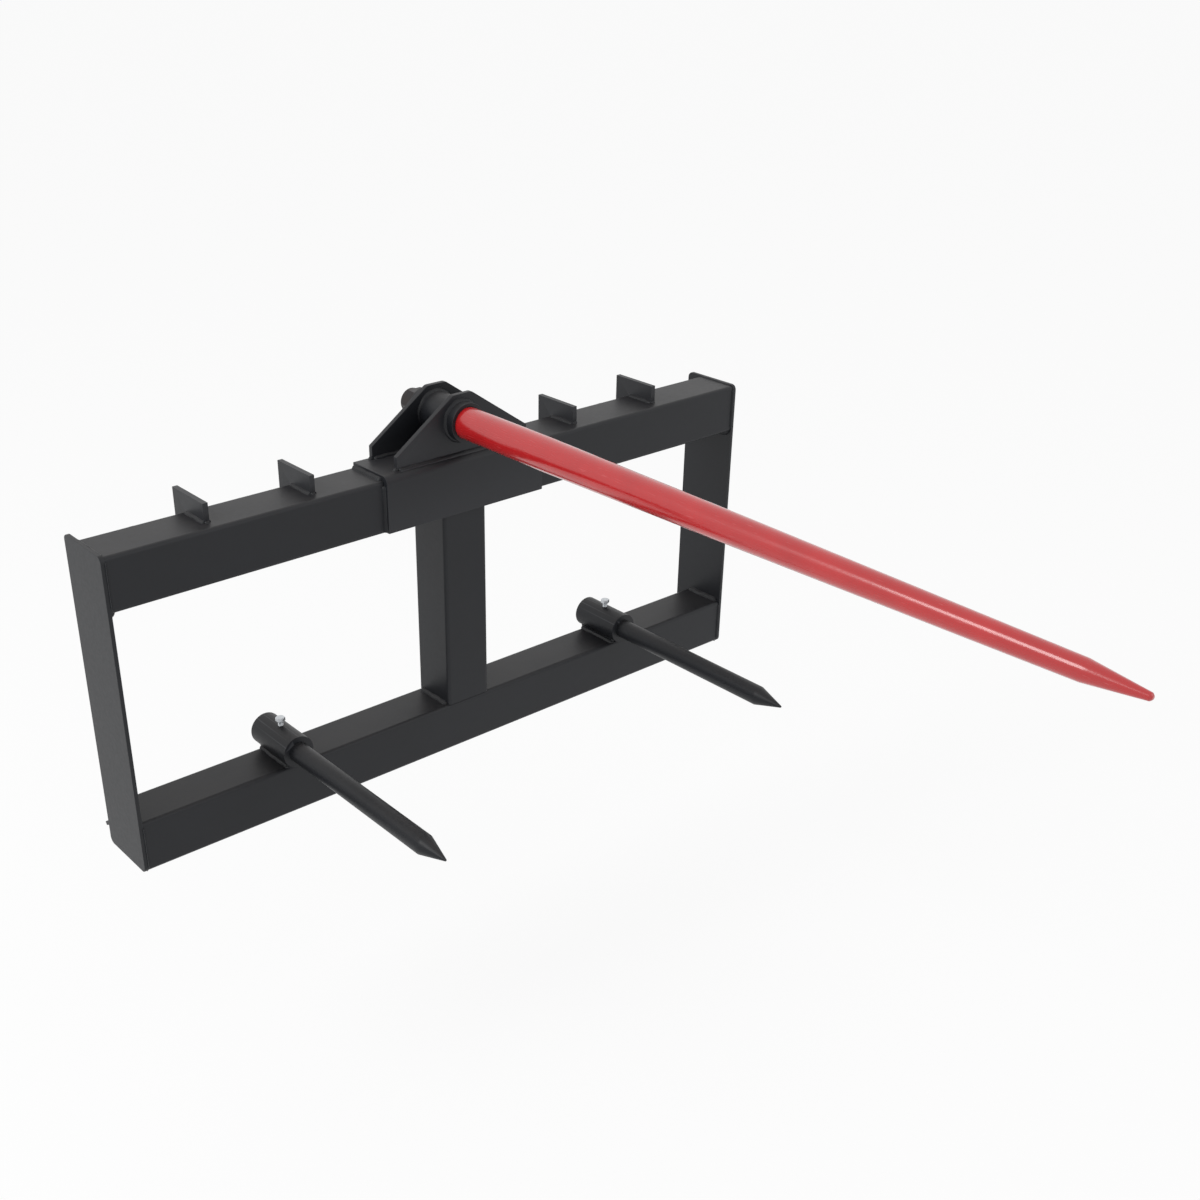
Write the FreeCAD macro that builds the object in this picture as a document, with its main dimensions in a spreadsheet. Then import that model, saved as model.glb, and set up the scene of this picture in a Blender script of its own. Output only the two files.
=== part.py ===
import FreeCAD, Part
import os
import re

import Sketcher
from FreeCAD import Placement, Rotation, Vector

# Bale spear for a skid-steer quick coupler, in millimetres.
# Origin: centre of the coupler face, on the rear of the centre post, halfway between the rails.
# +X is to the right seen from in front, +Y to the rear (to the loader), +Z up.

sizeTable = [
    # frame of square tube
    ("frameWidth", 1152, "between the end plates, to nest over the coupler"),
    ("tubeSize", 80, "side of the square tube"),
    ("tubeWall", 5, "wall of the square tube"),
    ("tubeCorner", 6, "outside corner radius of the tube"),
    ("tubeInsideCorner", 2, "inside corner radius of the tube"),
    ("windowHeight", 323, "between the two rails"),
    # end plates
    ("plateThickness", 6, "end plate"),
    ("plateFrontReach", 1.5, "end plate ahead of the rails"),
    ("plateBackReach", 26.5, "end plate and gussets behind the rails"),
    ("plateTopReach", 2, "end plate above the top rail"),
    ("plateBottomReach", 1, "end plate below the bottom rail"),
    ("plateCorner", 9, "corner radius of the end plate"),
    # saddle folded over the top rail
    ("saddleWidth", 290, "saddle along the rail"),
    ("saddleThickness", 8, "saddle plate"),
    ("saddleDrop", 78.5, "front leg below the rail's top"),
    ("saddleBackInset", 2, "rear edge ahead of the rail's rear"),
    ("saddleBendRelief", 3, "how much tighter the fold is than the tube's corner"),
    # upright socket plates
    ("socketPlateWidth", 241, "foot of the plate"),
    ("socketPlateShift", 3, "plate's middle to the right of the spear"),
    ("socketPlateThickness", 8, "plate"),
    ("socketPlateEnd", 20, "height of its upright ends"),
    ("socketPlateHeight", 91.5, "plate above the saddle"),
    ("socketPlateTop", 34, "width of its top"),
    ("socketPlateRound", 11, "radius of its top corners"),
    ("frontPlateInset", 5, "front plate behind the rail's front"),
    ("rearPlateInset", 4, "rear plate ahead of the rail's rear"),
    # sleeve of the main spear
    ("socketHeight", 51.3, "sleeve axis above the saddle"),
    ("socketDiameter", 60, "outside of the sleeve"),
    ("socketFrontReach", 12, "sleeve ahead of the rail"),
    ("socketBackReach", 16, "sleeve behind the rail"),
    # main spear
    ("spearDiameter", 48, "large end of the cone and straight part"),
    ("spearStraight", 176, "straight part ahead of the sleeve"),
    ("spearMiddleReach", 561, "sleeve to the spear's middle"),
    ("spearMiddleDiameter", 39.4, "at the middle"),
    ("spearNeckReach", 1008, "sleeve to the root of the point"),
    ("spearNeckDiameter", 26.8, "at the root of the point"),
    ("spearReach", 1083, "sleeve to the tip"),
    ("spearTipDiameter", 9.5, "blunt end of the point"),
    ("spearTipChamfer", 2.4, "chamfer round the blunt end"),
    ("seatSmallDiameter", 30, "small end of the cone, at the sleeve's rear"),
    ("seatDraw", 3, "cone stops short of the sleeve's rear, so the nut can draw it in"),
    ("spearThreadCore", 26.2, "core of the M28 x 1.5 thread"),
    ("spearThreadReach", 10, "thread behind the nut"),
    ("spearThreadChamfer", 1.5, "chamfer of the threaded end"),
    # washer and nut
    ("washerDiameter", 50, "washer"),
    ("washerHole", 29, "hole of the washer"),
    ("washerThickness", 4, "washer"),
    ("nutFlats", 41, "across the flats of the nut"),
    ("nutHeight", 23, "hexagon of the nut"),
    ("nutCollarDiameter", 39, "round locking collar behind the hexagon"),
    ("nutCollarHeight", 8, "locking collar"),
    # gussets on the top rail
    ("gussetThickness", 8, "gusset"),
    ("leftOuterInset", 159.5, "left outer gusset from the rail's left end"),
    ("leftInnerInset", 326, "left inner gusset from the rail's left end"),
    ("rightInnerInset", 339, "right inner gusset from the rail's right end"),
    ("rightOuterInset", 168, "right outer gusset from the rail's right end"),
    ("gussetForward", 58, "gusset on top of the rail"),
    ("gussetRise", 28, "gusset above the rail"),
    # coupler lip and flange
    ("lipAngle", 45, "slope of the lip"),
    ("lipThickness", 6, "lip"),
    ("lipReach", 26, "lip behind the rails"),
    ("flangeAngle", 30, "slope of the flange"),
    ("flangeThickness", 6, "flange"),
    ("flangeReach", 55, "flange behind the rails"),
    ("flangeRootHeight", 48, "root of the flange above the rail's underside"),
    ("slotInset", 68, "middle of the lock-pin slot from the flange's end"),
    ("slotWidth", 60, "slot along the flange"),
    ("slotDepth", 30, "slot across the flange"),
    ("slotSetback", 34, "middle of the slot from the flange's root"),
    ("slotCorner", 4, "corner radius of the slot"),
    # stabilisers
    ("stabiliserSpacing", 651, "between the stabilisers"),
    ("stabiliserDiameter", 31, "round bar"),
    ("stabiliserReach", 372.5, "rail's front to the bar's tip"),
    ("stabiliserPoint", 48, "length of its point"),
    ("stabiliserTipDiameter", 3, "blunt end of its point"),
    ("stabiliserInset", 6, "bar's end inside the sleeve's rear"),
    ("footWidth", 24, "foot between the rail and the stabiliser sleeve"),
    ("footHeight", 3, "foot under the lowest line of the sleeve"),
    ("footSide", 5, "how far the foot's sides rise beside the sleeve"),
    ("holderDiameter", 50, "outside of the stabiliser sleeve"),
    ("holderFrontReach", 12, "stabiliser sleeve ahead of the rail"),
    ("holderBackReach", 2, "stabiliser sleeve behind the rail"),
    ("holderClearance", 0.3, "gap round the bar"),
    # set bolts
    ("boltCore", 6.6, "core of the M8 thread"),
    ("boltFlats", 13, "across the flats of the head"),
    ("boltHeadHeight", 5.5, "head"),
    ("headChamferShare", 0.95, "flat face of the head's top, as a share of its flats"),
    ("headChamferAngle", 30, "chamfer of the head's corners"),
    ("boltStandout", 8, "bare thread between sleeve and head"),
    # fits
    ("fitClearance", 0.2, "round a welded-in or fitted piece"),
    ("seatClearance", 0.05, "in the cone and the threads"),
]

# derived heights and places, as formulas of the sizes above
railTop = "(windowHeight / 2 + tubeSize)"
railFront = "(-tubeSize)"
saddleTop = "(windowHeight / 2 + tubeSize + saddleThickness)"
sleeveFront = "(-tubeSize - socketFrontReach)"
stabiliserAxis = "(-windowHeight / 2 + footHeight + holderDiameter / 2)"
holderMiddle = "((holderBackReach - tubeSize - holderFrontReach) / 2)"
holderLength = "(tubeSize + holderFrontReach + holderBackReach)"
boltHeadBase = "(holderDiameter / 2 + boltStandout)"
seatLength = "(tubeSize + socketFrontReach + socketBackReach)"

alongX = Vector(1, 0, 0)
alongY = Vector(0, 1, 0)
alongZ = Vector(0, 0, 1)
closeEnough = 1e-6


def fillSheet():
    for row, (alias, value, meaning) in enumerate(sizeTable, 1):
        sheet.set("A%d" % row, meaning)
        sheet.set("B%d" % row, str(value))
        sheet.setAlias("B%d" % row, alias)
    doc.recompute()


def size(alias):
    return float(sheet.get(alias))


def formula(text):
    """The same formula with each size name pointing at its cell of the sheet."""
    aliases = {row[0] for row in sizeTable}

    def cell(word):
        return "Sizes." + word.group() if word.group() in aliases else word.group()

    return re.sub(r"[A-Za-z]+", cell, text)


def bind(thing, prop, text):
    thing.setExpression(prop, formula(text))


def startBody(label):
    body = doc.addObject("PartDesign::Body", label)
    body.Label = label
    return body


def place(body, **where):
    for axis, text in where.items():
        bind(body, "Placement.Base." + axis, text)


def sketchOn(body, role, name, **offset):
    """A sketch on one of the body's own origin planes, moved by offset in the sketch's axes."""
    sketch = body.newObject("Sketcher::SketchObject", name)
    plane = [feature for feature in body.Origin.OriginFeatures if feature.Role == role][0]
    sketch.AttachmentSupport = (plane, [""])
    sketch.MapMode = "FlatFace"
    for axis, text in offset.items():
        bind(sketch, "AttachmentOffset.Base." + axis, text)
    return sketch


def railTopNow():
    return size("windowHeight") / 2 + size("tubeSize")


def fixPoint(sketch, geometry, point, across, up):
    """Dimension one point of the sketch from its origin."""
    for kind, text in (("DistanceX", across), ("DistanceY", up)):
        index = sketch.addConstraint(Sketcher.Constraint(kind, -1, 1, geometry, point, 1.0))
        bind(sketch, "Constraints[%d]" % index, text)


def drawOutline(sketch, corners):
    """A closed outline of straight lines; every corner is dimensioned from the origin."""
    first = sketch.GeometryCount
    count = len(corners)
    start = [Rotation(alongZ, 360 * i / count).multVec(alongX) for i in range(count)]
    for i in range(count):
        sketch.addGeometry(Part.LineSegment(start[i], start[(i + 1) % count]))
    for i in range(count):
        following = first + (i + 1) % count
        sketch.addConstraint(Sketcher.Constraint("Coincident", first + i, 2, following, 1))
    for i, (across, up) in enumerate(corners):
        fixPoint(sketch, first + i, 1, across, up)


def drawRectangle(sketch, left, right, bottom, top):
    drawOutline(sketch, [(left, bottom), (right, bottom), (right, top), (left, top)])


def drawSquare(sketch, side):
    half = "(%s) / 2" % side
    drawRectangle(sketch, "-" + half, half, "-" + half, half)


def drawCircle(sketch, diameter, across="0", up="0"):
    circle = sketch.addGeometry(Part.Circle(Vector(), alongZ, 1))
    fixPoint(sketch, circle, 3, across, up)
    index = sketch.addConstraint(Sketcher.Constraint("Diameter", circle, 2.0))
    bind(sketch, "Constraints[%d]" % index, diameter)


def drawHexagon(sketch, flats, flatOnTop=False):
    halfFlats = "%s / 2" % flats
    halfSide = "%s / (2 * sqrt(3))" % flats
    point = "%s / sqrt(3)" % flats
    corners = [
        (halfFlats, halfSide), ("0", point), ("-" + halfFlats, halfSide),
        ("-" + halfFlats, "-" + halfSide), ("0", "-" + point), (halfFlats, "-" + halfSide),
    ]
    if flatOnTop:
        corners = [(up, across) for across, up in reversed(corners)]
    drawOutline(sketch, corners)


def pad(body, sketch, length, side="Symmetric", backwards=False):
    feature = body.newObject("PartDesign::Pad", sketch.Name + "Pad")
    feature.Profile = sketch
    feature.SideType = side
    feature.Reversed = backwards
    bind(feature, "Length", length)
    return feature


def pocketThrough(body, sketch, backwards=False, side="Symmetric"):
    feature = body.newObject("PartDesign::Pocket", sketch.Name + "Pocket")
    feature.Profile = sketch
    feature.SideType = side
    feature.Type = "ThroughAll"
    feature.Reversed = backwards
    return feature


def revolve(body, sketch, kind="PartDesign::Revolution"):
    """Turn the sketch about its own vertical axis."""
    feature = body.newObject(kind, sketch.Name + "Turn")
    feature.Profile = sketch
    feature.ReferenceAxis = (sketch, ["V_Axis"])
    feature.Angle = 360
    return feature


def straightEdges(feature, direction, wanted):
    """Names of the edges along direction whose middle point is wanted."""
    names = []
    for number, edge in enumerate(feature.Shape.Edges, 1):
        if edge.Curve.TypeId != "Part::GeomLine":
            continue
        middle = edge.valueAt((edge.FirstParameter + edge.LastParameter) / 2)
        parallel = abs(edge.Curve.Direction.dot(direction)) > 1 - closeEnough
        if parallel and wanted(middle):
            names.append("Edge%d" % number)
    return names


def fillet(body, feature, radius, direction, wanted=lambda middle: True):
    doc.recompute()
    rounded = body.newObject("PartDesign::Fillet", "%sRound%s" % (body.Name, radius.split()[0]))
    rounded.Base = (feature, straightEdges(feature, direction, wanted))
    bind(rounded, "Radius", radius)
    doc.recompute()
    return rounded


def squareTube(label, plane, length, direction):
    """Hollow square tube, its section in plane and centred on the body's origin."""
    body = startBody(label)
    outside = sketchOn(body, plane, label + "Outside")
    drawSquare(outside, "tubeSize")
    bar = fillet(body, pad(body, outside, length), "tubeCorner", direction)
    inside = sketchOn(body, plane, label + "Inside")
    drawSquare(inside, "tubeSize - 2 * tubeWall")
    tube = pocketThrough(body, inside)
    bore = size("tubeSize") / 2 - size("tubeWall")

    def onBore(middle):
        return max(abs(middle.x), abs(middle.y), abs(middle.z)) < bore + closeEnough

    fillet(body, tube, "tubeInsideCorner", direction, onBore)
    return body


def rail(label, height):
    body = squareTube(label, "YZ_Plane", "frameWidth", alongX)
    place(body, y="-tubeSize / 2", z=height)
    return body


def centrePost():
    body = squareTube("centre_post", "XY_Plane", "windowHeight", alongZ)
    place(body, y="-tubeSize / 2")
    return body


def endPlate(label, side):
    body = startBody(label)
    sketch = sketchOn(body, "YZ_Plane", label + "Outline")
    drawRectangle(
        sketch,
        railFront + " - plateFrontReach", "plateBackReach",
        "-" + railTop + " - plateBottomReach", railTop + " + plateTopReach",
    )
    fillet(body, pad(body, sketch, "plateThickness"), "plateCorner", alongX)
    place(body, x="%s(frameWidth + plateThickness) / 2" % side)
    return body


def socketSaddle():
    """Plate folded once over the front top corner of the top rail."""
    body = startBody("socket_saddle")
    sketch = sketchOn(body, "YZ_Plane", "saddleSection")
    outerFront = railFront + " - saddleThickness"
    legFoot = railTop + " - saddleDrop"
    drawOutline(sketch, [
        (railFront, legFoot), (railFront, railTop), ("-saddleBackInset", railTop),
        ("-saddleBackInset", saddleTop), (outerFront, saddleTop), (outerFront, legFoot),
    ])
    plate = pad(body, sketch, "saddleWidth")
    front = -size("tubeSize")
    top = railTopNow()

    def innerBend(middle):
        return abs(middle.y - front) + abs(middle.z - top) < closeEnough

    def outerBend(middle):
        return middle.y < front - closeEnough and middle.z > top + closeEnough

    folded = fillet(body, plate, "tubeCorner - saddleBendRelief", alongX, innerBend)
    fillet(body, folded, "saddleThickness + tubeCorner - saddleBendRelief", alongX, outerBend)
    return body


def socketPlate(label, middle):
    """Upright plate with sloping shoulders, drawn about its own middle, with a hole for the sleeve."""
    body = startBody(label)
    sketch = sketchOn(body, "XZ_Plane", label + "Outline")
    drawOutline(sketch, [
        ("-socketPlateWidth / 2", "0"), ("socketPlateWidth / 2", "0"),
        ("socketPlateWidth / 2", "socketPlateEnd"), ("socketPlateTop / 2", "socketPlateHeight"),
        ("-socketPlateTop / 2", "socketPlateHeight"), ("-socketPlateWidth / 2", "socketPlateEnd"),
    ])
    sleeveHole = "socketDiameter + 2 * fitClearance"
    drawCircle(sketch, sleeveHole, across="-socketPlateShift", up="socketHeight")
    plate = pad(body, sketch, "socketPlateThickness")
    top = size("socketPlateHeight")
    fillet(body, plate, "socketPlateRound", alongY, lambda point: point.z > top - closeEnough)
    place(body, x="socketPlateShift", y=middle, z=saddleTop)
    return body


def socketSleeve():
    """Round sleeve with a conical seat for the main spear."""
    body = startBody("socket_sleeve")
    sketch = sketchOn(body, "XY_Plane", "sleeveSection")
    drawOutline(sketch, [
        ("spearDiameter / 2 + seatClearance", sleeveFront), ("socketDiameter / 2", sleeveFront),
        ("socketDiameter / 2", "socketBackReach"),
        ("seatSmallDiameter / 2 + seatClearance", "socketBackReach"),
    ])
    revolve(body, sketch)
    place(body, z=saddleTop + " + socketHeight")
    return body


def mainSpear():
    """Forged spear: thread, cone, straight part, long taper and point, turned in one profile."""
    body = startBody("main_spear")
    sketch = sketchOn(body, "XY_Plane", "spearProfile")
    threadEnd = "socketBackReach + washerThickness + nutHeight + spearThreadReach"
    coneEnd = "socketBackReach - seatDraw"
    coneEndRadius = (
        "seatSmallDiameter / 2 + (spearDiameter - seatSmallDiameter) / 2 * seatDraw / " + seatLength
    )
    drawOutline(sketch, [
        ("0", threadEnd),
        ("spearThreadCore / 2 - spearThreadChamfer", threadEnd),
        ("spearThreadCore / 2", threadEnd + " - spearThreadChamfer"),
        ("spearThreadCore / 2", coneEnd),
        (coneEndRadius, coneEnd),
        ("spearDiameter / 2", sleeveFront),
        ("spearDiameter / 2", sleeveFront + " - spearStraight"),
        ("spearMiddleDiameter / 2", sleeveFront + " - spearMiddleReach"),
        ("spearNeckDiameter / 2", sleeveFront + " - spearNeckReach"),
        ("spearTipDiameter / 2", sleeveFront + " - spearReach + spearTipChamfer"),
        ("spearTipDiameter / 2 - spearTipChamfer", sleeveFront + " - spearReach"),
        ("0", sleeveFront + " - spearReach"),
    ])
    revolve(body, sketch)
    place(body, z=saddleTop + " + socketHeight")
    return body


def spearWasher():
    body = startBody("spear_washer")
    sketch = sketchOn(body, "XZ_Plane", "washerRing")
    drawCircle(sketch, "washerDiameter")
    drawCircle(sketch, "washerHole")
    pad(body, sketch, "washerThickness")
    place(body, y="socketBackReach + washerThickness / 2", z=saddleTop + " + socketHeight")
    return body


def spearNut():
    """Self-locking nut: hexagon with a flat on top, a round collar behind it."""
    body = startBody("spear_nut")
    sketch = sketchOn(body, "XZ_Plane", "nutHexagon")
    drawHexagon(sketch, "nutFlats", flatOnTop=True)
    pad(body, sketch, "nutHeight")
    collar = sketchOn(body, "XZ_Plane", "nutCollar", z="-nutHeight / 2")
    drawCircle(collar, "nutCollarDiameter")
    pad(body, collar, "nutCollarHeight", "One side", backwards=True)
    hole = sketchOn(body, "XZ_Plane", "nutHole")
    drawCircle(hole, "spearThreadCore + 2 * seatClearance")
    pocketThrough(body, hole)
    place(
        body,
        y="socketBackReach + washerThickness + nutHeight / 2",
        z=saddleTop + " + socketHeight",
    )
    return body


def gusset(label, across):
    """Upright tab that sits on the rail, follows its rounded rear corner and braces the lip."""
    body = startBody(label)
    sketch = sketchOn(body, "YZ_Plane", label + "Outline")
    lipRoot = railTop + " - tubeCorner"
    drawOutline(sketch, [
        ("-gussetForward", railTop), ("0", railTop), ("0", lipRoot),
        ("plateBackReach", lipRoot + " - plateBackReach * tan(lipAngle)"),
        ("plateBackReach", railTop + " + gussetRise"), ("-gussetForward", railTop + " + gussetRise"),
    ])
    plate = pad(body, sketch, "gussetThickness")
    top = railTopNow()

    def railCorner(middle):
        return abs(middle.y) + abs(middle.z - top) < closeEnough

    fillet(body, plate, "tubeCorner - fitClearance", alongX, railCorner)
    place(body, x=across)
    return body


def slopingPlate(label, reach, thickness, angle, root):
    """Bar sloping down to the rear from the rails' rear face, its root edge cut upright."""
    body = startBody(label)
    sketch = sketchOn(body, "YZ_Plane", label + "Section")
    width = "%s / cos(%s)" % (reach, angle)
    drawOutline(sketch, [
        ("0", "0"), (width, "0"), (width, "-" + thickness),
        ("%s * tan(%s)" % (thickness, angle), "-" + thickness),
    ])
    pad(body, sketch, "frameWidth")
    body.Placement = Placement(Vector(), Rotation(Vector(-1, 0, 0), size(angle)))
    bind(body, "Placement.Rotation.Angle", angle)
    place(body, z=root)
    return body


def couplerLip():
    return slopingPlate("coupler_lip", "lipReach", "lipThickness", "lipAngle", railTop + " - tubeCorner")


def couplerFlange():
    """Lower flange of the coupler, with two slots for the loader's lock pins."""
    root = "-%s + flangeRootHeight" % railTop
    body = slopingPlate("coupler_flange", "flangeReach", "flangeThickness", "flangeAngle", root)
    slots = sketchOn(body, "XY_Plane", "lockPinSlots")
    for side in ("-", ""):
        middle = side + "(frameWidth / 2 - slotInset)"
        drawRectangle(
            slots,
            middle + " - slotWidth / 2", middle + " + slotWidth / 2",
            "slotSetback - slotDepth / 2", "slotSetback + slotDepth / 2",
        )
    fillet(body, pocketThrough(body, slots), "slotCorner", alongZ)
    return body


def stabiliserSleeve(label, side):
    """Short sleeve lying on the bottom rail, with a threaded hole for its set bolt."""
    body = startBody(label)
    ring = sketchOn(body, "XZ_Plane", label + "Ring")
    drawCircle(ring, "holderDiameter")
    drawCircle(ring, "stabiliserDiameter + 2 * holderClearance")
    pad(body, ring, holderLength)
    hole = sketchOn(body, "XY_Plane", label + "BoltHole")
    drawCircle(hole, "boltCore + 2 * seatClearance")
    pocketThrough(body, hole, backwards=True, side="One side")
    place(body, x=side + "stabiliserSpacing / 2", y=holderMiddle, z=stabiliserAxis)
    return body


def stabiliserFoot(label, side):
    """Packer that carries the stabiliser sleeve on the rail, hollowed to the sleeve."""
    body = startBody(label)
    section = sketchOn(body, "XZ_Plane", label + "Section")
    drawRectangle(section, "-footWidth / 2", "footWidth / 2", "0", "footHeight + footSide")
    pad(body, section, "tubeSize")
    hollow = sketchOn(body, "XZ_Plane", label + "Hollow")
    drawCircle(hollow, "holderDiameter + 2 * fitClearance", up="footHeight + holderDiameter / 2")
    pocketThrough(body, hollow)
    place(body, x=side + "stabiliserSpacing / 2", y="-tubeSize / 2", z="-windowHeight / 2")
    return body


def stabiliserSpear(label, side):
    body = startBody(label)
    profile = sketchOn(body, "XY_Plane", label + "Profile")
    back = "holderBackReach - stabiliserInset"
    tip = railFront + " - stabiliserReach"
    drawOutline(profile, [
        ("0", back), ("stabiliserDiameter / 2", back),
        ("stabiliserDiameter / 2", tip + " + stabiliserPoint"),
        ("stabiliserTipDiameter / 2", tip), ("0", tip),
    ])
    revolve(body, profile)
    place(body, x=side + "stabiliserSpacing / 2", z=stabiliserAxis)
    return body


def headChamfer(body, name, top):
    """Turned chamfer that takes the corners off the top of the bolt's head."""
    sketch = sketchOn(body, "XZ_Plane", name)
    faceRadius = "boltFlats / 2 * headChamferShare"
    outerRadius = "boltFlats / sqrt(3) / headChamferShare"
    drop = "(%s - %s) * tan(headChamferAngle)" % (outerRadius, faceRadius)
    drawOutline(sketch, [
        (faceRadius, top), (outerRadius, top), (outerRadius, "%s - %s" % (top, drop)),
    ])
    return revolve(body, sketch, "PartDesign::Groove")


def setBolt(name, side):
    """Hexagon-head set bolt standing on the stabiliser bar."""
    body = startBody(name)
    shank = sketchOn(body, "XZ_Plane", name + "Shank")
    drawRectangle(shank, "0", "boltCore / 2", "stabiliserDiameter / 2 + seatClearance", boltHeadBase)
    revolve(body, shank)
    head = sketchOn(body, "XY_Plane", name + "Head", z=boltHeadBase)
    drawHexagon(head, "boltFlats")
    pad(body, head, "boltHeadHeight", "One side")
    headChamfer(body, name + "HeadChamfer", boltHeadBase + " + boltHeadHeight")
    place(body, x=side + "stabiliserSpacing / 2", y=holderMiddle, z=stabiliserAxis)
    return body


def setBolts():
    """Both set bolts as one group."""
    group = doc.addObject("Part::Compound", "stabiliser_set_bolts")
    group.Label = "stabiliser_set_bolts"
    group.Links = [setBolt("leftSetBolt", "-"), setBolt("rightSetBolt", "")]
    return group


def buildParts():
    railHeight = "(windowHeight + tubeSize) / 2"
    plateHalf = "socketPlateThickness / 2"
    return [
        rail("top_rail", railHeight),
        rail("bottom_rail", "-" + railHeight),
        centrePost(),
        endPlate("left_end_plate", "-"),
        endPlate("right_end_plate", ""),
        socketSaddle(),
        socketPlate("front_socket_plate", railFront + " + frontPlateInset + " + plateHalf),
        socketPlate("rear_socket_plate", "-rearPlateInset - " + plateHalf),
        socketSleeve(),
        mainSpear(),
        spearWasher(),
        spearNut(),
        gusset("left_outer_gusset", "leftOuterInset - frameWidth / 2"),
        gusset("left_inner_gusset", "leftInnerInset - frameWidth / 2"),
        gusset("right_inner_gusset", "frameWidth / 2 - rightInnerInset"),
        gusset("right_outer_gusset", "frameWidth / 2 - rightOuterInset"),
        couplerLip(),
        couplerFlange(),
        stabiliserFoot("left_stabiliser_foot", "-"),
        stabiliserFoot("right_stabiliser_foot", ""),
        stabiliserSleeve("left_stabiliser_sleeve", "-"),
        stabiliserSleeve("right_stabiliser_sleeve", ""),
        stabiliserSpear("left_stabiliser_spear", "-"),
        stabiliserSpear("right_stabiliser_spear", ""),
        setBolts(),
    ]


def checkModel(parts):
    for thing in doc.Objects:
        if "Invalid" in thing.State or "Error" in thing.State:
            raise RuntimeError("%s did not build: %s" % (thing.Label, thing.State))
    for part in parts:
        if part.Shape.isNull() or not part.Shape.isValid() or not part.Shape.Solids:
            raise RuntimeError("%s has no valid solid" % part.Label)


def writeParts(parts):
    os.makedirs("parts", exist_ok=True)
    for part in parts:
        part.Shape.exportStep("parts/%s.step" % part.Label)
        print("%-26s solids %d  volume %10.0f mm3" % (
            part.Label, len(part.Shape.Solids), part.Shape.Volume))


doc = FreeCAD.newDocument("BaleSpear")
sheet = doc.addObject("Spreadsheet::Sheet", "Sizes")
fillSheet()
parts = buildParts()
doc.recompute()
checkModel(parts)
writeParts(parts)
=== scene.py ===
import math
import random
import bmesh
import bpy
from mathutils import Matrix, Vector


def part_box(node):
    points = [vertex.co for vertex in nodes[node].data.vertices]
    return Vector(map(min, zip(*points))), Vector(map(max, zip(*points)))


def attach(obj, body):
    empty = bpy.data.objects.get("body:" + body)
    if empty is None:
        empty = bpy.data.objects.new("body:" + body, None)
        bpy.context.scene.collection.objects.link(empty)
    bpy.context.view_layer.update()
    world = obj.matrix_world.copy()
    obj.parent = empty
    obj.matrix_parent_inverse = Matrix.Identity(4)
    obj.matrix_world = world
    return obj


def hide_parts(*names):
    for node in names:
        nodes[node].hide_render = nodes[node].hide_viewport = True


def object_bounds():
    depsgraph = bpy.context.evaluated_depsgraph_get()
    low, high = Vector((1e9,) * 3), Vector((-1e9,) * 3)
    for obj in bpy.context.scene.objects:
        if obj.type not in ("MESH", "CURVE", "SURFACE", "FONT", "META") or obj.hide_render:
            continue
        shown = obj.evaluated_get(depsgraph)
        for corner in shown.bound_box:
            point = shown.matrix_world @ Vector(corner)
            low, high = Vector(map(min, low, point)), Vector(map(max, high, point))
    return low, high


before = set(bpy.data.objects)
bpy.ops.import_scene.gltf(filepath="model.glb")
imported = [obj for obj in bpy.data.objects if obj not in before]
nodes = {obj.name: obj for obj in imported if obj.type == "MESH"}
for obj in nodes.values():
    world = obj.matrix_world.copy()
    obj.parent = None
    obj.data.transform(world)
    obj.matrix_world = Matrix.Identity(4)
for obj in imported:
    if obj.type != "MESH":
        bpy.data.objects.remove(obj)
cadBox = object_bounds()
scene = bpy.context.scene
mm = 0.001  # one millimetre in metres
print("frame loaded:", len(nodes), "parts")

# camera
view = {
    "place": (-1.2764, -1.7646, 0.9945),  # metres, in front and to the left
    "turn": -39.56,  # degrees about the vertical
    "down": 28.2,  # degrees below the horizon
    "lens": 44.83,  # mm on a 36 mm sensor
    "shift": (0.0632, 0.0709),
}
cameraData = bpy.data.cameras.new("camera")
camera = bpy.data.objects.new("camera", cameraData)
scene.collection.objects.link(camera)
camera.location = view["place"]
camera.rotation_euler = (math.radians(90 - view["down"]), 0, math.radians(view["turn"]))
cameraData.sensor_width = 36
cameraData.lens = view["lens"]
cameraData.shift_x, cameraData.shift_y = view["shift"]
cameraData.clip_end = 90
scene.camera = camera
scene.view_settings.view_transform = "Standard"
print("camera set")


def linear(hexCode):
    # sRGB hex to the linear colour a shader wants
    parts = [int(hexCode[i:i + 2], 16) / 255 for i in (1, 3, 5)]
    return tuple(p / 12.92 if p <= 0.04045 else ((p + 0.055) / 1.055) ** 2.4 for p in parts) + (1.0,)


def addNode(tree, kind, settings=None, links=None):
    # settings: properties, or sockets by name or number; links: socket -> output of another node
    node = tree.nodes.new(kind)
    for name, value in (settings or {}).items():
        if isinstance(name, int) or name in node.inputs:
            node.inputs[name].default_value = value
        else:
            setattr(node, name, value)
    for name, output in (links or {}).items():
        tree.links.new(output, node.inputs[name])
    return node


def setRamp(node, stops):
    # stops: (position, grey 0 to 1)
    ramp = node.color_ramp
    while len(ramp.elements) < len(stops):
        ramp.elements.new(1.0)
    for element, (position, grey) in zip(ramp.elements, stops):
        element.position = position
        element.color = (grey, grey, grey, 1)


def newMaterial(name):
    material = bpy.data.materials.new(name)
    material.use_nodes = True
    tree = material.node_tree
    tree.nodes.clear()
    shader = addNode(tree, "ShaderNodeBsdfPrincipled")
    addNode(tree, "ShaderNodeOutputMaterial", links={"Surface": shader.outputs[0]})
    place = addNode(tree, "ShaderNodeTexCoord").outputs["Object"]
    return material, tree, shader, place


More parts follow.
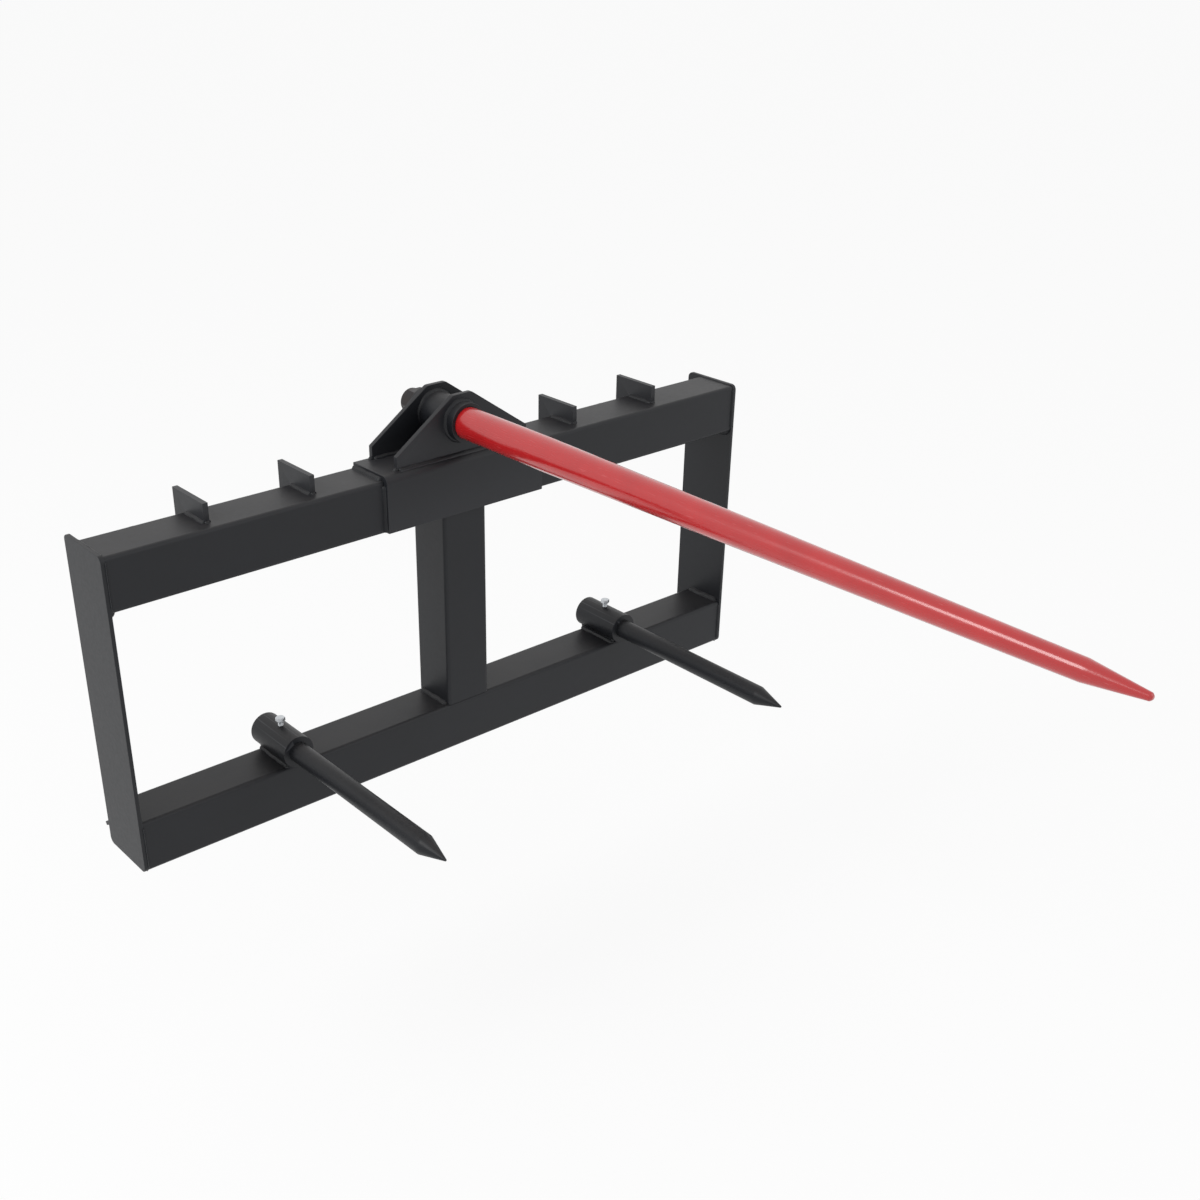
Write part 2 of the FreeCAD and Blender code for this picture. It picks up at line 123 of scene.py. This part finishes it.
# powder-coated steel: baked polyester powder over shot-blasted plate and tube.
# To the eye: a dark satin grey-black with a faint orange peel; where it lies flat, a little warm dust and painted top
# light make it lighter.
powderCoat = {
    "colour": "#15171c",
    "shade": "#0f1114",  # patches where the coat lies thinner
    # dust colour, also used as painted top light on faces that look up
    "dustAndTopLight": "#4a4440",
    "dustAndTopLightAmount": 0.22,
    "edgeHighlight": "#55565a",  # painted highlight along the edges
    "roughness": 0.42,
    "sheen": 0.3,  # specular level of the coat
    "orangePeel": 2.4,  # mm between the bumps; the real 1 mm peel is too fine to show
    "patch": 90,  # mm, soft clouding of the coat
    "grit": 7,  # mm, dust specks
}


def powderCoatMaterial(name, weld=False):
    material, tree, shader, place = newMaterial(name)
    cloud = addNode(tree, "ShaderNodeTexNoise", {"Scale": 1000 / powderCoat["patch"], "Detail": 4.0},
                    {"Vector": place})
    grit = addNode(tree, "ShaderNodeTexNoise", {"Scale": 1000 / powderCoat["grit"], "Detail": 6.0, "Roughness": 0.65},
                   {"Vector": place})
    peel = addNode(tree, "ShaderNodeTexNoise", {"Scale": 1000 / powderCoat["orangePeel"], "Detail": 1.0},
                   {"Vector": place})
    coat = addNode(tree, "ShaderNodeMix", {"data_type": "RGBA", 6: linear(powderCoat["shade"]),
                                           7: linear(powderCoat["colour"])}, {0: cloud.outputs["Fac"]})
    # dust lies where the surface looks up; the same mix is also painted light, making faces that look up lighter than
    # the rest
    normal = addNode(tree, "ShaderNodeNewGeometry").outputs["Normal"]
    up = addNode(tree, "ShaderNodeSeparateXYZ", links={0: normal}).outputs["Z"]
    upwards = addNode(tree, "ShaderNodeMapRange", {"From Min": 0.55, "From Max": 1.0, "To Max": powderCoat["dustAndTopLightAmount"]},
                      {"Value": up})
    specks = addNode(tree, "ShaderNodeMapRange", {"From Min": 0.35, "From Max": 0.75, "To Min": 0.35}, {"Value": grit.outputs["Fac"]})
    dustAndTopLightMask = addNode(tree, "ShaderNodeMath", {"operation": "MULTIPLY"},
                    {0: upwards.outputs[0], 1: specks.outputs[0]})
    patchy = addNode(tree, "ShaderNodeMath", {"operation": "MULTIPLY"}, {0: dustAndTopLightMask.outputs[0], 1: cloud.outputs["Fac"]})
    patchyTwice = addNode(tree, "ShaderNodeMath", {"operation": "MULTIPLY", 1: 1.9}, {0: patchy.outputs[0]})
    dustedAndTopLit = addNode(tree, "ShaderNodeMix", {"data_type": "RGBA", 7: linear(powderCoat["dustAndTopLight"])},
                     {0: patchyTwice.outputs[0], 6: coat.outputs[2]})
    # painted highlight: convex edges painted a little lighter
    edgeHighlightMask = addNode(tree, "ShaderNodeMapRange", {"From Min": 0.53, "From Max": 0.62, "To Max": 0.45},
                      {"Value": addNode(tree, "ShaderNodeNewGeometry").outputs["Pointiness"]})
    edgeHighlighted = addNode(tree, "ShaderNodeMix", {"data_type": "RGBA", 7: linear(powderCoat["edgeHighlight"])},
                     {0: edgeHighlightMask.outputs[0], 6: dustedAndTopLit.outputs[2]})
    tree.links.new(edgeHighlighted.outputs[2], shader.inputs["Base Color"])
    rough = addNode(tree, "ShaderNodeMapRange", {"To Min": powderCoat["roughness"] - 0.05,
                                                 "To Max": powderCoat["roughness"] + 0.10},
                    {"Value": grit.outputs["Fac"]})
    tree.links.new(rough.outputs[0], shader.inputs["Roughness"])
    peelBump = addNode(tree, "ShaderNodeBump", {"Strength": 0.35 if weld else 0.22, "Distance": 0.12 * mm},
                       {"Height": peel.outputs["Fac"]})
    cloudBump = addNode(tree, "ShaderNodeBump", {"Strength": 0.25, "Distance": 1.2 * mm},
                        {"Height": cloud.outputs["Fac"], "Normal": peelBump.outputs[0]})
    tree.links.new(cloudBump.outputs[0], shader.inputs["Normal"])
    shader.inputs["IOR"].default_value = 1.5
    shader.inputs["Specular IOR Level"].default_value = powderCoat["sheen"]
    return material


# gloss enamel: sprayed over forged steel.
# To the eye: strong red, wet-looking, with a soft pale streak along the upper edge and fine scuffs.
glossEnamel = {
    "colour": "#c32023",
    "deep": "#a8161a",
    "scuff": "#d8686a",
    "roughness": 0.22,
    "ripple": 60,  # mm, slow waviness left by the forge
    "speck": 3.0,  # mm, orange peel drawn coarse enough to show
    "scuffLength": 22,  # mm, along the spear
    "scuffWidth": 1.6,  # mm
}


def glossEnamelMaterial(name):
    material, tree, shader, place = newMaterial(name)
    cloud = addNode(tree, "ShaderNodeTexNoise", {"Scale": 1000 / glossEnamel["ripple"], "Detail": 3.0}, {"Vector": place})
    speck = addNode(tree, "ShaderNodeTexNoise", {"Scale": 1000 / glossEnamel["speck"], "Detail": 2.0}, {"Vector": place})
    along = addNode(tree, "ShaderNodeMapping", {"Scale": (1000 / glossEnamel["scuffWidth"], 1000 / glossEnamel["scuffLength"],
                                                          1000 / glossEnamel["scuffWidth"])}, {"Vector": place})
    scratch = addNode(tree, "ShaderNodeTexNoise", {"Scale": 1.0, "Detail": 3.0}, {"Vector": along.outputs[0]})
    base = addNode(tree, "ShaderNodeMix", {"data_type": "RGBA", 6: linear(glossEnamel["deep"]),
                                           7: linear(glossEnamel["colour"])}, {0: cloud.outputs["Fac"]})
    worn = addNode(tree, "ShaderNodeMapRange", {"From Min": 0.66, "From Max": 0.74, "To Max": 0.35},
                   {"Value": scratch.outputs["Fac"]})
    painted = addNode(tree, "ShaderNodeMix", {"data_type": "RGBA", 7: linear(glossEnamel["scuff"])},
                      {0: worn.outputs[0], 6: base.outputs[2]})
    tree.links.new(painted.outputs[2], shader.inputs["Base Color"])
    rough = addNode(tree, "ShaderNodeMapRange", {"To Min": glossEnamel["roughness"] - 0.05,
                                                 "To Max": glossEnamel["roughness"] + 0.12},
                    {"Value": scratch.outputs["Fac"]})
    tree.links.new(rough.outputs[0], shader.inputs["Roughness"])
    ripple = addNode(tree, "ShaderNodeBump", {"Strength": 0.3, "Distance": 0.8 * mm}, {"Height": cloud.outputs["Fac"]})
    peel = addNode(tree, "ShaderNodeBump", {"Strength": 0.12, "Distance": 0.1 * mm},
                   {"Height": speck.outputs["Fac"], "Normal": ripple.outputs[0]})
    tree.links.new(peel.outputs[0], shader.inputs["Normal"])
    shader.inputs["IOR"].default_value = 1.5
    shader.inputs["Coat Weight"].default_value = 0.6
    shader.inputs["Coat Roughness"].default_value = 0.12
    return material


# blackened steel: hot-dipped black oxide on turned and forged fasteners.
# To the eye: a dull blue-black metal, browner in patches, with a soft sheen on the flats.
blackOxide = {"colour": "#34353a", "brown": "#3a332e", "roughness": 0.42, "patch": 9, "turning": 0.9}

# bright zinc plate: electroplated steel, rolled and cut.
# To the eye: a cool silver with a milky bloom and a slightly uneven shine.
zincPlate = {"colour": "#d4d7da", "bloom": "#b6babd", "roughness": 0.27, "patch": 5, "turning": 0.8}


def platedMetalMaterial(name, finish, second, metallic):
    material, tree, shader, place = newMaterial(name)
    patch = addNode(tree, "ShaderNodeTexNoise", {"Scale": 1000 / finish["patch"], "Detail": 4.0}, {"Vector": place})
    turning = addNode(tree, "ShaderNodeTexNoise", {"Scale": 1000 / finish["turning"], "Detail": 1.0}, {"Vector": place})
    colour = addNode(tree, "ShaderNodeMix", {"data_type": "RGBA", 6: linear(finish["colour"]), 7: linear(finish[second])},
                     {0: patch.outputs["Fac"]})
    tree.links.new(colour.outputs[2], shader.inputs["Base Color"])
    rough = addNode(tree, "ShaderNodeMapRange", {"To Min": finish["roughness"] - 0.06, "To Max": finish["roughness"] + 0.14},
                    {"Value": patch.outputs["Fac"]})
    tree.links.new(rough.outputs[0], shader.inputs["Roughness"])
    bump = addNode(tree, "ShaderNodeBump", {"Strength": 0.15, "Distance": 0.08 * mm}, {"Height": turning.outputs["Fac"]})
    tree.links.new(bump.outputs[0], shader.inputs["Normal"])
    shader.inputs["Metallic"].default_value = metallic
    return material


blackPowder = powderCoatMaterial("powderCoatedSteel")
blackPowderWeld = powderCoatMaterial("powderCoatedWeld", weld=True)
redEnamel = glossEnamelMaterial("glossRedEnamel")
blackenedSteel = platedMetalMaterial("blackenedSteel", blackOxide, "brown", 0.85)
brightZinc = platedMetalMaterial("brightZincPlate", zincPlate, "bloom", 1.0)
print("materials made")


def finishPiece(name, mesh, material, replaced=()):
    mesh.materials.clear()
    mesh.materials.append(material)
    mesh.shade_smooth()
    mesh.set_sharp_from_angle(angle=math.radians(38))
    piece = bpy.data.objects.new(name, mesh)
    scene.collection.objects.link(piece)
    evenShading = piece.modifiers.new("evenShading", "WEIGHTED_NORMAL")
    evenShading.keep_sharp = True
    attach(piece, "root")
    if replaced:
        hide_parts(*replaced)
    return piece


def easedEdges(nodeName, radius, sharpest=24, segments=2):
    # the part's own solid with every hard edge eased by radius, in mm
    work = bmesh.new()
    work.from_mesh(nodes[nodeName].data)
    bmesh.ops.remove_doubles(work, verts=work.verts, dist=0.002 * mm)
    bmesh.ops.dissolve_limit(work, angle_limit=math.radians(0.2), verts=work.verts, edges=work.edges)
    hard = [edge for edge in work.edges
            if edge.is_manifold and edge.calc_face_angle(0) > math.radians(sharpest)]
    bmesh.ops.bevel(work, geom=hard, offset=radius * mm, offset_type="OFFSET", segments=segments,
                    profile=0.6, affect="EDGES", clamp_overlap=True)
    mesh = bpy.data.meshes.new(nodeName + "Mesh")
    index = {vertex: number for number, vertex in enumerate(work.verts)}
    mesh.from_pydata([vertex.co[:] for vertex in work.verts], [],
                     [[index[vertex] for vertex in face.verts] for face in work.faces])
    work.free()
    return mesh


# every steel part and how far its edges are eased, in mm; each takes the powder coat
steelParts = {
    "top_rail": 0.5, "bottom_rail": 0.5, "centre_post": 0.5,
    "left_end_plate": 0.9, "right_end_plate": 0.9,
    "socket_saddle": 0.9, "front_socket_plate": 0.9, "rear_socket_plate": 0.9, "socket_sleeve": 1.0,
    "left_outer_gusset": 0.8, "left_inner_gusset": 0.8, "right_inner_gusset": 0.8, "right_outer_gusset": 0.8,
    "coupler_lip": 0.8, "coupler_flange": 0.8,
    "left_stabiliser_foot": 0.3, "right_stabiliser_foot": 0.3,
    "left_stabiliser_sleeve": 1.0, "right_stabiliser_sleeve": 1.0,
    "left_stabiliser_spear": 0.5, "right_stabiliser_spear": 0.5,
}
for nodeName, radius in steelParts.items():
    finishPiece(nodeName + "_painted", easedEdges(nodeName, radius), blackPowder, [nodeName])
finishPiece("main_spear_painted", easedEdges("main_spear", 0.6), redEnamel, ["main_spear"])
finishPiece("spear_washer_turned", easedEdges("spear_washer", 0.5), blackenedSteel, ["spear_washer"])
finishPiece("spear_nut_forged", easedEdges("spear_nut", 0.4), blackenedSteel, ["spear_nut"])
finishPiece("stabiliser_set_bolts_plated", easedEdges("stabiliser_set_bolts", 0.25), brightZinc,
            ["stabiliser_set_bolts"])
print("steel parts dressed")

# weld beads: MIG fillets, drawn as overlapping ripples
weld = {
    "ripple": 3.2,  # mm from one ripple to the next
    "step": 0.8,  # mm between the bead's sections
    "crown": 0.16,  # how far the bead swells beyond a flat fillet, as a share of its leg
    "rippleDepth": 0.07,  # share of its leg
    "wander": 0.10,  # share of its leg
    "bury": 0.35,  # mm the bead reaches into both plates
}


def beadSections(path, sideA, sideB, leg, seed, closed=False):
    # path: corner points; sideA, sideB: for each point, unit directions along the two plates
    chance = random.Random(seed)
    lengths = [0.0]
    for a, b in zip(path, path[1:]):
        lengths.append(lengths[-1] + (b - a).length)
    total = lengths[-1]
    count = max(6, round(total / (weld["step"] * mm)))
    phases = [chance.uniform(0, 6.28) for unused in range(4)]
    rows = []
    for i in range(count + 1):
        at = total * i / count
        k = max(j for j in range(len(lengths)) if lengths[j] <= at + 1e-9)
        k = min(k, len(path) - 2)
        t = (at - lengths[k]) / max(1e-9, lengths[k + 1] - lengths[k])
        corner = path[k].lerp(path[k + 1], t)
        a = sideA[k].lerp(sideA[k + 1], t).normalized()
        b = sideB[k].lerp(sideB[k + 1], t).normalized()
        s = at / mm
        ripple = 1 - abs(((s / weld["ripple"]) % 1.0) * 2 - 1) ** 1.6
        wave = (math.sin(s / 9.7 + phases[0]) + math.sin(s / 4.3 + phases[1])) / 2
        other = (math.sin(s / 7.1 + phases[2]) + math.sin(s / 3.7 + phases[3])) / 2
        end = 1.0 if closed else min(1.0, math.sqrt(max(0.0, 1 - (1 - min(1.0, min(at, total - at) / leg)) ** 2)) + 0.05)
        legA = leg * end * (1 + weld["wander"] * wave)
        legB = leg * end * (1 + weld["wander"] * other)
        swell = leg * end * (weld["crown"] + weld["rippleDepth"] * ripple)
        buried = -(a + b) * weld["bury"] * mm
        section = []
        outward = (a + b).normalized()
        for u in range(7):
            f = u / 6
            flat = a * (legA * (1 - f)) + b * (legB * f)
            section.append(corner + buried + flat + outward * (swell * math.sin(math.pi * f)))
        rows.append([corner + buried * 2] + section)
    return rows


def addBead(work, rows, closed=False):
    made = [[work.verts.new(point) for point in row] for row in rows]
    if closed:
        made = made[:-1]
    pairs = list(zip(made, made[1:])) + ([(made[-1], made[0])] if closed else [])
    for first, second in pairs:
        for i in range(len(first)):
            j = (i + 1) % len(first)
            work.faces.new((first[i], first[j], second[j], second[i]))
    if not closed:
        work.faces.new(list(reversed(made[0])))
        work.faces.new(made[-1])


def straightBead(work, start, end, sideA, sideB, leg, seed):
    a, b = Vector(sideA), Vector(sideB)
    addBead(work, beadSections([Vector(start), Vector(end)], [a, a], [b, b], leg * mm, seed))


def ringBead(work, centre, radius, outwards, leg, seed):
    # round a sleeve whose axis runs along Y; outwards is the plate's outward normal along Y
    path, sideA, sideB = [], [], []
    for i in range(65):
        angle = 2 * math.pi * i / 64
        radial = Vector((math.cos(angle), 0, math.sin(angle)))
        path.append(centre + radial * radius)
        sideA.append(Vector((0, outwards, 0)))
        sideB.append(radial)
    addBead(work, beadSections(path, sideA, sideB, leg * mm, seed, closed=True), closed=True)


def weldPiece(name, draw):
    work = bmesh.new()
    draw(work)
    bmesh.ops.recalc_face_normals(work, faces=work.faces)
    mesh = bpy.data.meshes.new(name + "Mesh")
    work.to_mesh(mesh)
    work.free()
    piece = finishPiece(name, mesh, blackPowderWeld)
    return piece


beadLeg = {"frame": 6, "underRail": 10, "post": 5, "saddle": 5, "plates": 5, "sleeve": 4, "gusset": 4, "foot": 4, "coupler": 4}
railLow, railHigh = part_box("top_rail")
lowRailLow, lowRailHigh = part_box("bottom_rail")
postLow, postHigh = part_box("centre_post")
tubeCorner = 6 * mm


def drawFrameWelds(work):
    seed = 10
    for low, high in ((railLow, railHigh), (lowRailLow, lowRailHigh)):
        for x, inward in ((low.x, 1), (high.x, -1)):
            seed += 1
            along = (inward, 0, 0)
            front, back = low.y, high.y
            straightBead(work, (x, front, low.z + tubeCorner), (x, front, high.z - tubeCorner), along, (0, -1, 0), 3, seed)
            straightBead(work, (x, front + tubeCorner, high.z), (x, back - tubeCorner, high.z), along, (0, 0, 1),
                         beadLeg["frame"] if low.z < 0 else 2.5, seed + 20)
            straightBead(work, (x, front + tubeCorner / 2, low.z), (x, back - tubeCorner, low.z), along, (0, 0, -1),
                         beadLeg["underRail"] if low.z > 0 else 2.5, seed + 40)
            straightBead(work, (x, back, low.z + tubeCorner), (x, back, high.z - tubeCorner), along, (0, 1, 0),
                         beadLeg["frame"] - 1, seed + 60)
    for z, up in ((postLow.z, 1), (postHigh.z, -1)):
        for x, out in ((postLow.x, -1), (postHigh.x, 1)):
            seed += 1
            straightBead(work, (x, postLow.y + tubeCorner, z), (x, postHigh.y - tubeCorner, z), (out, 0, 0), (0, 0, up),
                         beadLeg["post"], seed)


def drawSocketWelds(work):
    saddleLow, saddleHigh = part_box("socket_saddle")
    seed = 200
    thickness = 8 * mm
    for x, out in ((saddleLow.x, -1), (saddleHigh.x, 1)):
        seed += 1
        straightBead(work, (x, railLow.y + tubeCorner, railHigh.z), (x, saddleHigh.y, railHigh.z), (out, 0, 0), (0, 0, 1),
                     beadLeg["saddle"], seed)
        straightBead(work, (x, railLow.y, saddleLow.z), (x, railLow.y, railHigh.z - tubeCorner), (out, 0, 0), (0, -1, 0),
                     beadLeg["saddle"], seed + 20)
    for name in ("front_socket_plate", "rear_socket_plate"):
        low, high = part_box(name)
        for y, out in ((low.y, -1), (high.y, 1)):
            seed += 1
            straightBead(work, (low.x + 2 * mm, y, low.z), (high.x - 2 * mm, y, low.z), (0, out, 0), (0, 0, 1),
                         beadLeg["plates"], seed)
        for x, out in ((low.x, -1), (high.x, 1)):
            seed += 1
            straightBead(work, (x, low.y, low.z), (x, high.y, low.z), (out, 0, 0), (0, 0, 1), beadLeg["plates"], seed)
    sleeveLow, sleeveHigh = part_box("socket_sleeve")
    centre = (sleeveLow + sleeveHigh) / 2
    radius = (sleeveHigh.x - sleeveLow.x) / 2
    for name in ("front_socket_plate", "rear_socket_plate"):
        low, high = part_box(name)
        for y, out in ((low.y, -1), (high.y, 1)):
            seed += 1
            ringBead(work, Vector((centre.x, y, centre.z)), radius, out, beadLeg["sleeve"], seed)


def drawGussetWelds(work):
    seed = 300
    for name in ("left_outer_gusset", "left_inner_gusset", "right_inner_gusset", "right_outer_gusset"):
        low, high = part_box(name)
        for x, out in ((low.x, -1), (high.x, 1)):
            seed += 1
            straightBead(work, (x, low.y, railHigh.z), (x, -tubeCorner, railHigh.z), (out, 0, 0), (0, 0, 1),
                         beadLeg["gusset"], seed)
        straightBead(work, (low.x, low.y, railHigh.z), (high.x, low.y, railHigh.z), (0, -1, 0), (0, 0, 1),
                     beadLeg["gusset"], seed + 30)


def drawStabiliserWelds(work):
    seed = 400
    for side in ("left", "right"):
        low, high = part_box(side + "_stabiliser_foot")
        for x, out in ((low.x, -1), (high.x, 1)):
            seed += 1
            straightBead(work, (x, low.y, low.z), (x, high.y, low.z), (out, 0, 0), (0, 0, 1), beadLeg["foot"] + 1, seed)
            # the seam between the foot's top and the round sleeve above it
            leaning = Vector((out * 0.88, 0, 0.48))
            straightBead(work, (x - out * 0.5 * mm, low.y, high.z - 0.8 * mm), (x - out * 0.5 * mm, high.y, high.z - 0.8 * mm),
                         leaning, (0, 0, -1), beadLeg["foot"], seed + 30)
        for y, out in ((low.y, -1), (high.y, 1)):
            seed += 1
            straightBead(work, (low.x, y, low.z), (high.x, y, low.z), (0, out, 0), (0, 0, 1), 3, seed + 60)


def drawCouplerWelds(work):
    # short stitches, 40 mm in every 160
    lipLow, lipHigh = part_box("coupler_lip")
    flangeLow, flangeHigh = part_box("coupler_flange")
    seed = 500
    for i in range(7):
        x = lipLow.x + 60 * mm + i * 165 * mm
        seed += 1
        straightBead(work, (x, 0, flangeHigh.z), (x + 40 * mm, 0, flangeHigh.z), (0, 0.866, -0.5), (0, 0, 1),
                     beadLeg["coupler"] + 1, seed)
        straightBead(work, (x, 0, lipHigh.z), (x + 40 * mm, 0, lipHigh.z), (0, 0.707, -0.707), (0, 0, 1),
                     beadLeg["coupler"], seed + 30)


frameWelds = weldPiece("frame_welds", drawFrameWelds)
socketWelds = weldPiece("socket_welds", drawSocketWelds)
gussetWelds = weldPiece("gusset_welds", drawGussetWelds)
stabiliserWelds = weldPiece("stabiliser_welds", drawStabiliserWelds)
couplerWelds = weldPiece("coupler_welds", drawCouplerWelds)
print("welds laid")

# rolled threads, as helical ridges round the plain cores
spearThread = {"pitch": 1.5, "core": 13.1, "crest": 13.95}  # mm, radii
boltThread = {"pitch": 1.25, "core": 3.3, "crest": 3.98}


def threadMesh(name, start, direction, length, thread):
    # a tube whose radius follows the thread's helix
    across = 64 if thread["core"] > 5 else 40
    perPitch = 6
    rowsCount = max(2, round(length / (thread["pitch"] * mm) * perPitch))
    axis = Vector(direction)
    sideways = Vector((1, 0, 0))
    third = axis.cross(sideways)
    work = bmesh.new()
    rings = []
    for row in range(rowsCount + 1):
        along = length * row / rowsCount
        fade = min(1.0, min(along, length - along) / (thread["pitch"] * mm) + 0.05)
        ring = []
        for k in range(across):
            turn = k / across
            phase = (along / (thread["pitch"] * mm) - turn) % 1.0
            height = 1 - abs(2 * phase - 1)
            radius = (thread["core"] + (thread["crest"] - thread["core"]) * min(1, height * 1.25) * fade) * mm
            angle = 2 * math.pi * turn
            ring.append(work.verts.new(Vector(start) + axis * along
                                       + (sideways * math.cos(angle) + third * math.sin(angle)) * radius))
        rings.append(ring)
    for first, second in zip(rings, rings[1:]):
        for k in range(across):
            n = (k + 1) % across
            work.faces.new((first[k], first[n], second[n], second[k]))
    work.faces.new(list(reversed(rings[0])))
    work.faces.new(rings[-1])
    bmesh.ops.recalc_face_normals(work, faces=work.faces)
    mesh = bpy.data.meshes.new(name + "Mesh")
    work.to_mesh(mesh)
    work.free()
    return mesh


spearLow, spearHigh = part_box("main_spear")
nutLow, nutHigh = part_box("spear_nut")
spearAxisZ = (nutLow.z + nutHigh.z) / 2
finishPiece("spear_thread", threadMesh("spearThread", (0, nutHigh.y - 1 * mm, spearAxisZ), (0, 1, 0),
                                       spearHigh.y - nutHigh.y - 0.2 * mm, spearThread), blackenedSteel)
boltLow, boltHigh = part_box("stabiliser_set_bolts")
for side in ("left", "right"):
    low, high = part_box(side + "_stabiliser_sleeve")
    headBase = boltHigh.z - 5.5 * mm
    middle = (low + high) / 2
    finishPiece(side + "_bolt_thread", threadMesh(side + "BoltThread", (middle.x, middle.y, high.z - 1 * mm), (0, 0, 1),
                                                  headBase - high.z + 1 * mm, boltThread), brightZinc)
print("threads cut")

# floor, sky and lamps
studio = {"floorDrop": 0.45, "floorSize": 60, "paperGlow": 0.85, "sky": 0.75, "key": 60, "fill": 15}
floorMesh = bpy.data.meshes.new("floorMesh")
half = studio["floorSize"] / 2
floorZ = cadBox[0].z - studio["floorDrop"]
floorMesh.from_pydata([(-half, -half, floorZ), (half, -half, floorZ), (half, half, floorZ), (-half, half, floorZ)], [],
                      [(0, 1, 2, 3)])
floor = bpy.data.objects.new("floor", floorMesh)
scene.collection.objects.link(floor)
paper, tree, shader, place = newMaterial("whitePaperSweep")
shader.inputs["Base Color"].default_value = linear("#f4f4f4")
shader.inputs["Roughness"].default_value = 0.9
shader.inputs["Specular IOR Level"].default_value = 0.0
floorRays = addNode(tree, "ShaderNodeLightPath")
floorSeen = addNode(tree, "ShaderNodeMath", {"operation": "MAXIMUM"},
                    {0: floorRays.outputs["Is Camera Ray"], 1: floorRays.outputs["Is Glossy Ray"]})
floorShare = addNode(tree, "ShaderNodeMath", {"operation": "MULTIPLY", 1: studio["paperGlow"]}, {0: floorSeen.outputs[0]})
glow = addNode(tree, "ShaderNodeEmission", {"Strength": 1.0})
paperMix = addNode(tree, "ShaderNodeMixShader", links={0: floorShare.outputs[0], 1: shader.outputs[0], 2: glow.outputs[0]})
tree.links.new(paperMix.outputs[0], tree.nodes["Material Output"].inputs["Surface"])
floorMesh.materials.append(paper)

world = bpy.data.worlds.new("studioSky")
scene.world = world
world.use_nodes = True
skyTree = world.node_tree
skyTree.nodes.clear()
rays = addNode(skyTree, "ShaderNodeLightPath")
seen = addNode(skyTree, "ShaderNodeMath", {"operation": "MAXIMUM"}, {0: rays.outputs["Is Camera Ray"], 1: rays.outputs["Is Glossy Ray"]})
seenToo = addNode(skyTree, "ShaderNodeMath", {"operation": "MAXIMUM"}, {0: seen.outputs[0], 1: rays.outputs["Is Transmission Ray"]})
strength = addNode(skyTree, "ShaderNodeMapRange", {"To Min": studio["sky"], "To Max": 1.0}, {"Value": seenToo.outputs[0]})
sky = addNode(skyTree, "ShaderNodeBackground", {"Color": (1, 1, 1, 1)}, {"Strength": strength.outputs[0]})
addNode(skyTree, "ShaderNodeOutputWorld", links={"Surface": sky.outputs[0]})


def addLamp(name, place, target, size, power):
    lampData = bpy.data.lights.new(name, "AREA")
    lampData.shape = "DISK"
    lampData.size = size
    lampData.energy = power
    lamp = bpy.data.objects.new(name, lampData)
    scene.collection.objects.link(lamp)
    lamp.location = place
    lamp.rotation_euler = (Vector(target) - Vector(place)).to_track_quat("-Z", "Y").to_euler()
    return lamp


addLamp("keyLamp", (-3.2, 0.6, 2.8), (0, -0.3, 0), 1.8, studio["key"])
addLamp("fillLamp", (1.5, -3.5, 2.0), (0, -0.3, 0), 2.5, studio["fill"])
print("studio lit")
